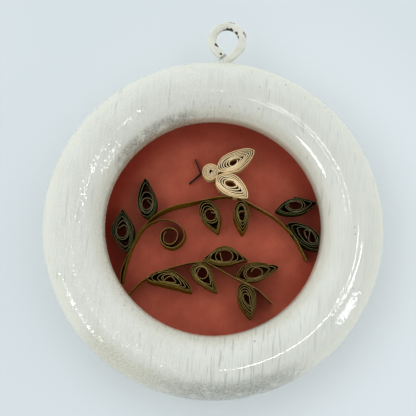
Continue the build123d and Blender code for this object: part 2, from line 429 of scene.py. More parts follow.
# Painted shade: the card darkens towards the ring's wall, except at the bottom, and most at the left.
painted_wall_shade = card.overlap(
    card.band(card.length(card.place), 18.0 * mm, 22.3 * mm),
    card.band(card.along("Y"), -17 * mm, -7 * mm),
    card.band(card.along("X"), -20 * mm, -10 * mm, 0.8, 0.5),
)
card_colour = card.mix(mottle, (0.440, 0.094, 0.055), (0.540, 0.122, 0.072))
card_colour = card.tint(card_colour, (0.38, 0.078, 0.045), flecks, 0.30)
card_colour = card.tint(card_colour, (0.27, 0.055, 0.033), card.band(fibres, 0.55, 0.8), 0.25)
card_colour = card.mix(painted_wall_shade, card_colour, (0.29, 0.024, 0.012))
card.give(Base_Color=card_colour, Normal=card.bump(fibres, 0.03 * mm))
card.wear(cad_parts["backing_card"])


# Branches: olive paper strips standing on edge, glued along their lower edge. The cut edge on top is
# paler than the sides, and wavers a little where the strip was cut and bent by hand.
strip_width = 3.2 * mm
strip_thickness = 0.08 * mm
glue_gap = 0.05 * mm
cut_waver = 0.06 * mm
cut_waver_low = 0.2
wavers_to_the_metre = 260
nearly_level = 0.6
side_face, cut_face, shaded_inside_face = range(3)
papers = {}


def paper_finish(name, side, side_dark, cut, cut_pale, shade, painted_eye_light, shade_lift_outer=0.15):
    """Three finishes of one paper: its dyed sides, the fibrous cut edge, and the sides within a coil, on
    which shade is painted: near black, lifted in the outer turns, and with painted light round the eye.
    """
    papers[name] = []
    for part, dark, pale, grain_scale in (
        ("side", side_dark, side, 900),
        ("cut", cut, cut_pale, 2200),
        ("inside", shade, side_dark, 900),
    ):
        paper = Finish(f"{name}_{part}", Roughness=0.95, Specular_IOR_Level=0.0)
        rolled = paper.add("ShaderNodeAttribute", {"attribute_name": "rolled"}).outputs["Fac"]
        amount = paper.band(paper.clouds(grain_scale, detail=5.0, rough=0.65), 0.3, 0.7)
        if part == "cut":
            amount = paper.combine("MULTIPLY_ADD", amount, 0.5, paper.band(rolled, 0.25, 0.75, 0.0, 0.5))
        # Painted shade: the walls within the coil go near black, lifted towards the side's colour in the
        # outer turns.
        if part == "inside":
            amount = paper.overlap(amount, paper.band(rolled, 0.3, 0.65, shade_lift_outer, 0.15))
        colour = paper.mix(amount, dark, pale)
        colour = paper.tint(colour, dark, paper.band(paper.clouds(260, detail=2.0), 0.45, 0.75), 0.35)
        # Painted light: the innermost walls, round the open eye, turn lighter and redder, as if lit by the
        # red card.
        if part == "inside":
            colour = paper.mix(paper.band(rolled, 0.80, 0.88), colour, painted_eye_light)
        fibre = paper.clouds(3200, paper.stretched((1.0, 1.0, 0.3)), detail=3.0, rough=0.7)
        paper.give(Base_Color=colour, Normal=paper.bump(fibre, 0.02 * mm))
        papers[name].append(paper.material)


def once_around(line, eye):
    """The fraction of the line at which the strip has gone a little more than once around the eye."""
    turned = 0
    for step, (start, end) in enumerate(zip(line, line[1:])):
        turned += (start - eye).angle_signed(end - eye)
        if abs(turned) > 1.02 * math.tau:
            return step / len(line)
    return 1


def stand_strip(node, slot, line, thickness=strip_thickness, width=strip_width, feet=None, eye=None):
    """Stand a strip of paper on the card along a line: draw it, pull it up, and give it thickness.

    The feet say how far the glued lower edge stands out from the upper one; the eye is a coil's middle.
    """
    clear_selection()
    drawing = bpy.data.curves.new("paper_" + node, "CURVE")
    drawing.dimensions = "3D"
    spline = drawing.splines.new("POLY")
    spline.points.add(len(line) - 1)
    for point, place in zip(spline.points, line):
        point.co = (place.x, place.y, card_top, 1)
    strip = bpy.data.objects.new("paper_" + node, drawing)
    bpy.context.collection.objects.link(strip)
    bpy.context.view_layer.objects.active = strip
    strip.select_set(True)
    bpy.ops.object.convert(target="MESH")
    strip = bpy.context.object
    rolled = strip.data.attributes.new("rolled", "FLOAT", "POINT")
    rolled.data.foreach_set("value", [i / len(line) for i in range(len(line))])
    bpy.ops.object.mode_set(mode="EDIT")
    bpy.ops.mesh.select_all(action="SELECT")
    bpy.ops.mesh.extrude_region_move(TRANSFORM_OT_translate={"value": (0, 0, width)})
    bpy.ops.object.mode_set(mode="OBJECT")
    for corner in strip.data.vertices:
        if corner.co.z > card_top + width / 2:
            corner.co.z += cut_waver * (noise.noise(corner.co * wavers_to_the_metre) - cut_waver_low)
        elif feet:
            corner.co += feet[corner.index]
    solid = strip.modifiers.new("paper", "SOLIDIFY")
    solid.thickness = thickness
    solid.offset = 0
    bpy.ops.object.modifier_apply(modifier=solid.name)
    bpy.ops.object.mode_set(mode="EDIT")
    bpy.ops.mesh.select_all(action="SELECT")
    bpy.ops.mesh.normals_make_consistent(inside=False)
    bpy.ops.object.mode_set(mode="OBJECT")
    strip.data.materials.clear()
    for finish in papers[slot]:
        strip.data.materials.append(finish)
    rolled = strip.data.attributes["rolled"].data
    first_turn = once_around(line, eye) if eye else 1
    for face in strip.data.polygons:
        if abs(face.normal.z) > nearly_level:
            face.material_index = cut_face
        elif eye:
            outwards = face.normal.xy.dot(face.center.xy - eye) > 0
            outermost = rolled[face.vertices[0]].value < first_turn
            face.material_index = side_face if outwards and outermost else shaded_inside_face
    bpy.ops.object.shade_smooth_by_angle(angle=crease_angle)
    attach(strip, "root")
    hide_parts(node)


def rounded(corners, bends, spacing=0.4 * mm):
    """A line of straight runs joined by round bends, as evenly spaced points; the corners are in mm."""
    corners = [Vector((x, y)) * mm for x, y in corners]
    line = [corners[0]]
    for before, corner, after, bend in zip(corners, corners[1:], corners[2:], bends):
        arrive = (corner - before).normalized()
        leave = (after - corner).normalized()
        turn = arrive.angle_signed(leave)
        reach = bend * mm * math.tan(abs(turn) / 2)
        start = corner - arrive * reach
        centre = start + Vector((-arrive.y, arrive.x)) * bend * mm * (-1 if turn > 0 else 1)
        steps = max(2, round(abs(turn) * bend * mm / spacing))
        for i in range(steps + 1):
            line.append(centre + Matrix.Rotation(-turn * i / steps, 2) @ (start - centre))
    line.append(corners[-1])
    filled = [line[0]]
    for start, end in zip(line, line[1:]):
        steps = max(1, round((end - start).length / spacing))
        filled += [start.lerp(end, (i + 1) / steps) for i in range(steps)]
    return filled


paper_finish(
    "olive_paper",
    side=(0.175, 0.088, 0.006),
    side_dark=(0.095, 0.048, 0.004),
    cut=(0.13, 0.078, 0.005),
    cut_pale=(0.41, 0.295, 0.11),
    shade=(0.002, 0.001, 0.001),
    painted_eye_light=(0.15, 0.05, 0.022),
)
main_line = rounded(
    [(-18.2, -13.4), (-18.45, -10.8), (-15.8, -2.8), (-12.4, 2.0), (-8.55, 4.05),
     (3.8, 7.5), (12.9, 3.25), (17.25, -0.35), (20.15, -5.5)],
    [6, 14, 9, 14, 9, 14, 10],
)
lower_line = rounded(
    [(-16.5, -15.5), (-13.7, -12.1), (-9.3, -9.6), (-5.0, -8.0), (-1.3, -7.15),
     (5.4, -10.2), (10.2, -12.1), (13.7, -14.95)],
    [8, 12, 14, 1.2, 20, 8],
)
# The main branch leans most at one place along it, and its feet stand out there, in mm.
lean_at = -8.5
lean_reach = 6.5
lean_out = Vector((0.15, -0.45, 0))
main_feet = []
for place in main_line:
    lean = max(0, 1 - ((place.x / mm - lean_at) / lean_reach) ** 2)
    main_feet.append(lean_out * lean * mm)
stand_strip("main_branch", "olive_paper", main_line, feet=main_feet)
stand_strip("lower_branch", "olive_paper", lower_line)


# Tendril: one more olive strip, glued beside the foot of the main branch, that leaves it and was
# wound round a tool into an open curl.
def beside(line, at, distance):
    """A point beside a line, to its right, at a fraction of the line's length."""
    lengths = [(end - start).length for start, end in zip(line, line[1:])]
    left = at * sum(lengths)
    for start, end, length in zip(line, line[1:], lengths):
        if left <= length:
            along = (end - start) / length
            return start + along * left + Vector((along.y, -along.x)) * distance
        left -= length


def mirrored(heading, chord):
    """The heading at the other end of a round arc over the chord."""
    along = chord.normalized()
    return 2 * heading.dot(along) * along - heading


def smooth_run(places, spacing):
    """A smooth curve through the places, which begins and ends as a round arc would."""
    chords = [end - start for start, end in zip(places, places[1:])]
    headings = []
    for before, after in zip(chords, chords[1:]):
        heading = before.normalized() * after.length + after.normalized() * before.length
        headings.append(heading.normalized())
    if headings:
        headings.insert(0, mirrored(headings[0], chords[0]))
        headings.append(mirrored(headings[-1], chords[-1]))
    else:
        headings = [chords[0].normalized()] * 2
    line = places[:1]
    for start, end, leave, arrive in zip(places, places[1:], headings, headings[1:]):
        third = (end - start).length / 3
        steps = max(1, round((end - start).length / spacing))
        handles = start + leave * third, end - arrive * third
        line += geometry.interpolate_bezier(start, *handles, end, steps + 1)[1:]
    return line


# The tendril starts at its root and is glued along the main branch, at these fractions of it.
tendril_root = Vector((-17.75, -12.9)) * mm
tendril_gap = 0.27 * mm
glued_at = (0.125, 0.17, 0.21, 0.25)
curl = [
    (-13.25, -0.14), (-12.03, 0.49), (-10.58, 0.82), (-9.1, 0.81), (-7.8, 0.44), (-6.74, -0.33),
    (-6.04, -1.34), (-5.83, -2.38), (-6.14, -3.42), (-6.86, -4.3), (-7.97, -4.9), (-9.13, -4.82),
    (-10.17, -4.23), (-10.69, -3.4), (-10.77, -2.45), (-10.46, -1.54), (-9.73, -0.95), (-8.85, -0.81),
    (-7.99, -1.02), (-7.37, -1.61), (-7.24, -2.43), (-7.44, -3.25), (-7.85, -3.88), (-8.55, -4.23),
    (-9.34, -4.16), (-10.01, -3.73), (-10.17, -3.04), (-10.07, -2.31), (-9.87, -1.7),
]
rise = [beside(main_line, at, tendril_gap) for at in glued_at]
tendril_line = smooth_run([tendril_root, *rise] + [Vector(place) * mm for place in curl], 0.2 * mm)
curl_centre = Vector((-8.2, -2.2)) * mm
curl_starts = -12 * mm
inner_turn = 1.9 * mm
curl_lean = 0.28
tendril_feet = []
for place in tendril_line:
    away = place - curl_centre
    lean = curl_lean if place.x > curl_starts and away.length > inner_turn else 0
    tendril_feet.append(away.normalized().to_3d() * lean * mm)
stand_strip("tendril", "olive_paper", tendril_line, feet=tendril_feet)


# Leaves: each is one paper strip rolled up, let spring open and pinched at its ends, so each has
# opened in its own way. Four are dark green and seven olive. A leaf's places, in mm, follow its strip
# from the outer end to the end in the eye, in runs from one pinch to the next.
def pinched_line(runs, spacing=0.16):
    """A strip's line: smooth within each run of places, with a sharp pinch between two runs."""
    line = []
    for run in runs:
        line = line[:-1] + smooth_run(line[-1:] + [Vector(place) for place in run], spacing)
    return [place * mm for place in line]


paper_finish(
    "green_paper",
    side=(0.052, 0.055, 0.012),
    side_dark=(0.022, 0.022, 0.008),
    cut=(0.040, 0.050, 0.012),
    cut_pale=(0.27, 0.25, 0.13),
    shade=(0.002, 0.002, 0.002),
    painted_eye_light=(0.13, 0.035, 0.022),
)
leaves = {
    "leaf_upper_left": dict(slot="green_paper", eye=(-14.47, 4.2), lean=(0, 0), runs=[
        [(-13.98, 0.87), (-12.93, 1.73), (-12.43, 3.01), (-12.42, 4.26), (-12.81, 5.74), (-13.5, 7.2),
         (-14.26, 8.45), (-15.12, 9.43)],
        [(-15.7, 8.33), (-16.09, 6.89), (-16.29, 5.36), (-16.2, 3.96), (-15.72, 2.49), (-14.84, 1.49),
         (-13.95, 1.26), (-13.13, 1.99), (-12.71, 3.05), (-12.74, 4.24), (-13.15, 5.71), (-13.8, 6.96),
         (-14.42, 7.89), (-15.08, 8.56)],
        [(-15.5, 7.37), (-15.75, 6.16), (-15.88, 4.85), (-15.74, 3.61), (-15.21, 2.47), (-14.2, 1.86),
         (-13.32, 2.47), (-12.94, 3.47), (-13.01, 4.65), (-13.42, 5.69), (-13.95, 6.26), (-14.54, 6.45),
         (-15.11, 6.14), (-15.43, 5.47), (-15.62, 4.55), (-15.44, 3.38), (-14.88, 2.39), (-14.18, 2.14),
         (-13.5, 2.58), (-13.09, 3.5), (-13.12, 4.42), (-13.6, 5.03), (-14.42, 5.2), (-15.12, 4.91),
         (-15.36, 4.14), (-15.2, 3.29), (-14.74, 2.74), (-14.2, 2.64), (-13.58, 3.03), (-13.25, 3.83)],
        [(-14.25, 4.74)],
    ]),
    "leaf_lower_left": dict(slot="green_paper", eye=(-18.95, -2.3), lean=(0, 0), runs=[
        [(-17.53, -6.54), (-16.97, -5.37), (-16.68, -3.98), (-16.64, -2.49), (-16.85, -1.34),
         (-17.44, -0.1), (-18.28, 1.11), (-19.37, 2.47)],
        [(-19.98, 1.19), (-20.65, -0.21), (-21.09, -1.46), (-21.18, -2.42), (-20.79, -3.41),
         (-19.78, -4.64), (-18.65, -5.82), (-17.71, -6.38)],
        [(-17.21, -5.5), (-16.92, -4.31), (-16.87, -2.93), (-17.06, -1.78), (-17.61, -0.54), (-18.45, 0.67),
         (-19.37, 1.84)],
        [(-19.93, 0.66), (-20.49, -0.51), (-20.82, -1.65), (-20.84, -2.5), (-20.43, -3.43), (-19.53, -4.41),
         (-18.67, -5.19), (-17.95, -5.6)],
        [(-17.45, -5.16), (-17.19, -4.12), (-17.16, -2.96), (-17.37, -1.7), (-17.9, -0.63), (-18.65, 0.4),
         (-19.32, 0.92)],
        [(-19.89, 0.02), (-20.29, -0.97), (-20.43, -1.94), (-20.25, -2.88), (-19.61, -3.74),
         (-18.78, -4.08), (-17.97, -3.7), (-17.52, -2.77), (-17.58, -1.71), (-17.99, -0.79),
         (-18.53, -0.19), (-19.02, 0.05)],
        [(-19.59, -0.59), (-20.03, -1.33), (-20.14, -2.13), (-19.95, -2.96), (-19.4, -3.56),
         (-18.77, -3.72), (-18.13, -3.35), (-17.81, -2.58), (-17.92, -1.7), (-18.25, -1.13),
         (-18.75, -0.98), (-19.3, -1.38), (-19.78, -1.67)],
    ]),
    "leaf_upper_right": dict(slot="green_paper", eye=(17.0, 5.85), lean=(0, 0), runs=[
        [(16.73, 7.81), (19.12, 7.56), (21.57, 6.96)],
        [(20.39, 5.77), (18.86, 4.72), (16.88, 4.14), (14.55, 4.19), (13.16, 4.79)],
        [(14.12, 6.13), (15.33, 7.03), (16.79, 7.49), (18.39, 7.35), (20.54, 6.9)],
        [(19.54, 5.79), (18.32, 4.87), (16.44, 4.38), (14.64, 4.45), (13.64, 4.91)],
        [(14.55, 6), (15.66, 6.84), (17.13, 7.21), (18.47, 6.99), (19.04, 6.31), (18.65, 5.35),
         (17.48, 4.76), (15.88, 4.9), (14.97, 5.6)],
        [(15.31, 6.36), (16.3, 6.82), (17.57, 6.94), (18.5, 6.46), (18.36, 5.63), (17.56, 5.11),
         (16.14, 5.22), (15.43, 5.74), (15.7, 6.26)],
    ]),
    "leaf_lower_right": dict(slot="green_paper", eye=(19.55, -0.1), lean=(0, 0), runs=[
        [(22.22, -2.99), (20.85, -2.84), (19.24, -2.21), (17.93, -1.25), (16.92, -0.17), (16.12, 0.94),
         (15.58, 1.9)],
        [(16.46, 2.31), (18.04, 2.28), (19.75, 1.86), (21.27, 1.13), (22.39, -0.16), (22.54, -1.84)],
        [(20.93, -2.41), (19.54, -1.85), (18.12, -0.88), (17.17, 0.17), (16.66, 0.98), (16.58, 1.61)],
        [(17.12, 1.89), (18.28, 1.85), (19.77, 1.52), (21.07, 0.78), (22.02, -0.4), (22.29, -1.52)],
        [(20.97, -2.03), (19.73, -1.54), (18.62, -0.54), (17.98, 0.38), (17.7, 1.21)],
        [(18.51, 1.53), (19.68, 1.35), (20.65, 0.87), (21.5, -0.13), (21.94, -1.32)],
        [(21.06, -1.68), (20.23, -1.07)],
        [(20.3, -0.11), (20.42, 0.77)],
        [(19.8, 1.04), (19.22, 0.84)],
        [(19.43, 0.03), (19.98, -0.8)],
    ]),
    "leaf_hanging_left": dict(slot="olive_paper", eye=(-0.6, 2.35), lean=(0.25, -0.05), runs=[
        [(-2.09, 5.7), (-1.13, 5.6), (-0.19, 5.09), (0.55, 4.21), (1.06, 3.06), (1.3, 1.91), (1.27, 0.41),
         (1.02, -1.02)],
        [(-0.02, -0.46), (-1.36, 0.52), (-2.44, 1.55), (-3.02, 2.74), (-3.13, 4.13), (-2.78, 5.02),
         (-2.07, 5.42), (-1.21, 5.32), (-0.32, 4.8), (0.38, 3.98), (0.84, 2.94), (1.08, 1.78), (1.06, 0.39),
         (0.86, -0.65)],
        [(-0.09, -0.08), (-1.21, 0.73), (-2.12, 1.57), (-2.69, 2.66), (-2.79, 3.79), (-2.43, 4.64),
         (-1.76, 5.06), (-0.86, 4.89), (-0.06, 4.24), (0.51, 3.34), (0.76, 2.29), (0.66, 1.39),
         (-0.02, 0.97), (-0.8, 0.97), (-1.58, 1.46), (-2.13, 2.28), (-2.38, 3.22), (-2.17, 4.01),
         (-1.5, 4.39), (-0.7, 4.21), (0.04, 3.65), (0.49, 2.81), (0.47, 1.99), (-0.06, 1.46), (-0.84, 1.37),
         (-1.5, 1.79), (-1.87, 2.62), (-1.84, 3.37), (-1.37, 3.8), (-0.67, 3.85), (-0.02, 3.67),
         (0.26, 3.34)],
        [(-0.12, 3.08), (-0.56, 3.28)],
    ]),
    "leaf_hanging_right": dict(slot="olive_paper", eye=(5.82, 3.5), lean=(0, -0.45), runs=[
        [(5.73, 6.29), (6.43, 5.9), (6.96, 5.03), (7.29, 3.98), (7.4, 2.92), (7.28, 1.63), (6.9, 0.43),
         (6.36, -0.55)],
        [(5.73, 0.27), (4.97, 1.49), (4.46, 2.69), (4.31, 3.86), (4.5, 5.05), (5.08, 5.85), (5.81, 6.04),
         (6.42, 5.42), (6.89, 4.49), (7.12, 3.33), (7.05, 2.14), (6.75, 1.05), (6.27, 0.12)],
        [(5.68, 0.93), (5.08, 1.99), (4.7, 3.14), (4.76, 4.36), (5.16, 5.24), (5.74, 5.54), (6.28, 5.09),
         (6.72, 4.15), (6.9, 3.1), (6.77, 2.01), (6.19, 0.94)],
        [(5.7, 1.53), (5.22, 2.43), (4.94, 3.37), (5.03, 4.39), (5.37, 5.04), (5.8, 5.26), (6.25, 4.83),
         (6.55, 3.93), (6.64, 2.97), (6.48, 2.14), (6.05, 1.74), (5.58, 2.03), (5.26, 2.75), (5.16, 3.49)],
        [(5.58, 3.87), (6.27, 3.97)],
    ]),
    "sprig_leaf_left": dict(slot="olive_paper", eye=(-7.6, -11.65), lean=(0, -0.45), runs=[
        [(-12.74, -11.95), (-11.7, -12.35), (-10.01, -12.59), (-8.11, -12.83), (-6.21, -13.16),
         (-4.51, -13.56), (-3.39, -13.56)],
        [(-3.76, -12.59), (-4.68, -11.57), (-5.8, -10.66), (-7.11, -9.95), (-8.6, -9.65), (-10.24, -9.96),
         (-11.75, -10.65), (-12.74, -11.72)],
        [(-11.93, -12.12), (-10.23, -12.38), (-8.34, -12.62), (-6.44, -12.91), (-4.95, -13.27),
         (-3.78, -13.34)],
        [(-4.22, -12.59), (-5.09, -11.66), (-6.13, -10.87), (-7.3, -10.23), (-8.57, -9.98),
         (-10.11, -10.25), (-11.22, -10.75), (-11.86, -11.49)],
        [(-11.42, -11.99), (-10.04, -12.2), (-8.36, -12.39), (-6.67, -12.63), (-5.4, -12.91),
         (-4.65, -12.85)],
        [(-5.07, -12.14), (-5.95, -11.31), (-6.94, -10.66), (-8.12, -10.3), (-9.26, -10.41),
         (-10.13, -10.81), (-10.67, -11.52)],
        [(-10.06, -12.01), (-8.79, -12.2), (-7.32, -12.38), (-6.16, -12.53), (-5.58, -12.45)],
        [(-5.95, -11.79), (-6.63, -11.12), (-7.46, -10.68), (-8.31, -10.52), (-9.27, -10.78),
         (-9.86, -11.39)],
        [(-9.34, -11.91), (-8.38, -12.09), (-7.44, -12.14), (-6.72, -12)],
        [(-7.13, -11.41), (-7.87, -10.84)],
        [(-8.57, -11.14), (-9.12, -11.83)],
        [(-9.5, -11.24)],
    ]),
    "sprig_leaf_drooping": dict(slot="olive_paper", eye=(-1.43, -9.73), lean=(0, -0.15), runs=[
        [(-2.91, -7.72), (-1.45, -7.56), (-0.32, -8.16), (0.42, -9.35), (0.99, -10.77), (1.58, -12.17),
         (1.96, -13.38)],
        [(0.65, -13.07), (-0.97, -12.29), (-2.51, -11.35), (-3.55, -10.08), (-3.8, -8.85), (-3.09, -8.02),
         (-1.75, -7.79), (-0.61, -8.25), (0.19, -9.37), (0.71, -10.68), (1.26, -12.03), (1.61, -13.12)],
        [(0.41, -12.7), (-0.99, -12.06), (-2.37, -11.18), (-3.3, -10.06), (-3.49, -9.04), (-2.94, -8.28),
         (-1.84, -8.03), (-0.82, -8.41), (-0.06, -9.39), (0.46, -10.6), (0.85, -11.92), (1.08, -12.77)],
        [(0.07, -12.35), (-1.01, -11.82), (-2.22, -11.02), (-3.05, -10.04), (-3.16, -9.2), (-2.63, -8.55),
         (-1.82, -8.26), (-0.91, -8.58), (-0.24, -9.41), (0.18, -10.52), (0.48, -12.01)],
        [(-0.38, -11.83), (-1.46, -11.42), (-2.39, -10.74), (-2.9, -9.87), (-2.8, -9.02), (-2.28, -8.5),
         (-1.49, -8.4), (-0.73, -8.82), (-0.31, -9.58), (-0.5, -10.43), (-1.19, -10.88), (-1.97, -10.75),
         (-2.61, -10.05)],
        [(-2.32, -9.22), (-1.91, -8.66)],
    ]),
    "sprig_leaf_top": dict(slot="olive_paper", eye=(3.47, -5.6), lean=(0, 0), runs=[
        [(-1.35, -6.82), (-0.01, -7.34), (1.49, -7.73), (3.16, -7.68), (4.8, -7.26), (6.22, -6.72),
         (7.72, -6.21)],
        [(6.66, -5.49), (5.34, -4.57), (3.92, -3.84), (2.55, -3.78), (1.23, -4.32), (-0.05, -5.41),
         (-1.3, -6.6)],
        [(0.19, -7.16), (1.68, -7.48), (3.14, -7.45), (4.78, -7.03), (6.11, -6.59), (7, -6.2)],
        [(6.24, -5.44), (5.14, -4.69), (3.83, -4.07), (2.57, -4.03), (1.45, -4.49), (0.26, -5.45),
         (-0.63, -6.63)],
        [(0.49, -7.01), (1.87, -7.28), (3.23, -7.21), (4.56, -6.88), (5.43, -6.45), (5.72, -5.86),
         (5.38, -5.17), (4.5, -4.57), (3.43, -4.28), (2.38, -4.34), (1.17, -4.9), (0.18, -5.75),
         (-0.03, -6.57)],
        [(0.8, -6.94), (1.96, -7.1), (3.32, -7.02), (4.33, -6.58), (4.67, -5.84), (4.43, -5.1),
         (3.7, -4.61), (2.61, -4.55), (1.69, -4.88), (1.11, -5.59), (1.09, -6.33), (1.53, -6.88),
         (2.51, -6.89)],
        [(2.18, -6.08), (1.9, -5.17)],
    ]),
    "sprig_leaf_right": dict(slot="olive_paper", eye=(9.6, -8.8), lean=(0, 0), runs=[
        [(12, -6.73), (10.61, -6.63), (9.15, -6.66), (7.81, -7.02), (6.72, -7.88), (6.01, -9.02),
         (5.69, -10.02)],
        [(6.71, -10.61), (8.38, -10.68), (10.13, -10.36), (11.74, -9.59), (13.14, -8.6), (14.41, -7.25)],
        [(13.34, -6.86), (11.99, -6.96), (10.52, -6.89), (9.06, -6.94), (7.9, -7.35), (6.96, -8.21),
         (6.36, -9.2), (6.11, -10.16)],
        [(7.22, -10.44), (8.57, -10.44), (10.11, -10.11), (11.52, -9.42), (12.72, -8.51), (13.7, -7.52)],
        [(12.84, -7.23), (11.69, -7.24), (10.33, -7.15), (9.08, -7.21), (8.07, -7.65), (7.37, -8.45),
         (7.22, -9.34), (7.61, -10.04), (8.66, -10.2), (9.89, -9.94), (11.1, -9.31), (11.99, -8.51),
         (12.54, -7.8)],
        [(11.82, -7.52), (10.66, -7.4), (9.41, -7.46), (8.29, -7.9), (7.7, -8.64), (7.67, -9.41),
         (8.22, -9.91), (9.16, -9.94), (10.29, -9.62), (10.94, -9.05), (11.02, -8.46), (10.55, -7.93),
         (9.49, -7.68)],
        [(9.02, -8.11), (8.64, -8.65)],
    ]),
    "sprig_leaf_bottom": dict(slot="olive_paper", eye=(8.15, -14.8), lean=(0.1, -0.25), runs=[
        [(7.15, -10.99), (8.2, -11.09), (9.08, -11.85), (9.73, -12.87), (10.02, -14.09), (10.03, -15.42),
         (9.75, -16.78), (9.23, -18.21)],
        [(8.22, -17.35), (7.27, -16.26), (6.6, -14.97), (6.26, -13.66), (6.2, -12.22), (6.62, -11.44),
         (7.48, -11.25), (8.37, -11.49), (9.09, -12.24), (9.58, -13.3), (9.8, -14.52), (9.76, -15.75),
         (9.18, -17.74)],
        [(8.25, -16.9), (7.46, -15.93), (6.9, -14.85), (6.53, -13.64), (6.51, -12.51), (6.92, -11.79),
         (7.61, -11.59), (8.36, -11.89), (8.93, -12.67), (9.37, -13.62), (9.56, -14.84), (9.5, -16.08),
         (9.09, -17.14)],
        [(8.21, -16.35), (7.51, -15.52), (7.01, -14.53), (6.79, -13.52), (6.87, -12.58), (7.37, -12.09),
         (8.07, -12.2), (8.65, -12.86), (9.12, -13.85), (9.3, -15.07), (9.15, -16.52)],
        [(8.25, -15.75), (7.58, -14.96), (7.16, -14.01), (7.06, -13.17), (7.41, -12.64), (8.02, -12.7),
         (8.48, -13.32), (8.77, -14.29), (8.99, -15.88)],
        [(8.17, -15.22), (7.58, -14.49), (7.35, -13.78), (7.56, -13.31), (8.04, -13.23), (8.37, -13.56)],
    ]),
}
# A strip keeps off the ring's wall, and its inner turns keep up to 1 mm further off.
ring_wall = 22.75
foot_flare = 0.2 * mm
for node, leaf in leaves.items():
    line = pinched_line(leaf["runs"])
    eye = Vector(leaf["eye"]) * mm
    lean = Vector(leaf["lean"]) * mm
    feet = []
    for step, place in enumerate(line):
        rolled_up = step / len(line)
        wall = (ring_wall - rolled_up) * mm
        if place.length > wall:
            place.length = wall
        flare = foot_flare * max(0, 1 - 2 * rolled_up)
        feet.append((lean + (place - eye).normalized() * flare).to_3d())
    stand_strip(node, leaf["slot"], line, feet=feet, eye=eye)


# Butterfly: a tight round coil for the head and two pinched coils for the wings, all rolled from
# cream paper, and a folded sliver of dark brown paper for the antennae.
paper_finish(
    "cream_paper",
    side=(0.80, 0.62, 0.33),
    side_dark=(0.50, 0.34, 0.13),
    cut=(0.85, 0.585, 0.295),
    cut_pale=(0.95, 0.765, 0.48),
    shade=(0.06, 0.03, 0.009),
    painted_eye_light=(0.60, 0.40, 0.17),
    shade_lift_outer=0.8,
)
paper_finish(
    "brown_paper",
    side=(0.025, 0.012, 0.012),
    side_dark=(0.014, 0.008, 0.009),
    cut=(0.035, 0.02, 0.02),
    cut_pale=(0.05, 0.03, 0.03),
    shade=(0.01, 0.01, 0.01),
    painted_eye_light=(0.01, 0.01, 0.01),
)
head_centre = Vector((-1.4, 11.85)) * mm
head_radius = 1.8 * mm
head_turns = 5
bends_per_turn = 48
head_thickness = 0.17 * mm
slit = Vector((0.24, 0.46)) * mm

head_line = []
for step in range(head_turns * bends_per_turn + 1):
    rolled_up = step / (head_turns * bends_per_turn)
    turn = math.tau * step / bends_per_turn
    reach = Vector((head_radius, head_radius)).lerp(slit, rolled_up)
    head_line.append(head_centre + Vector((math.cos(turn) * reach.x, math.sin(turn) * reach.y)))
stand_strip("butterfly_head", "cream_paper", head_line, head_thickness, eye=head_centre)

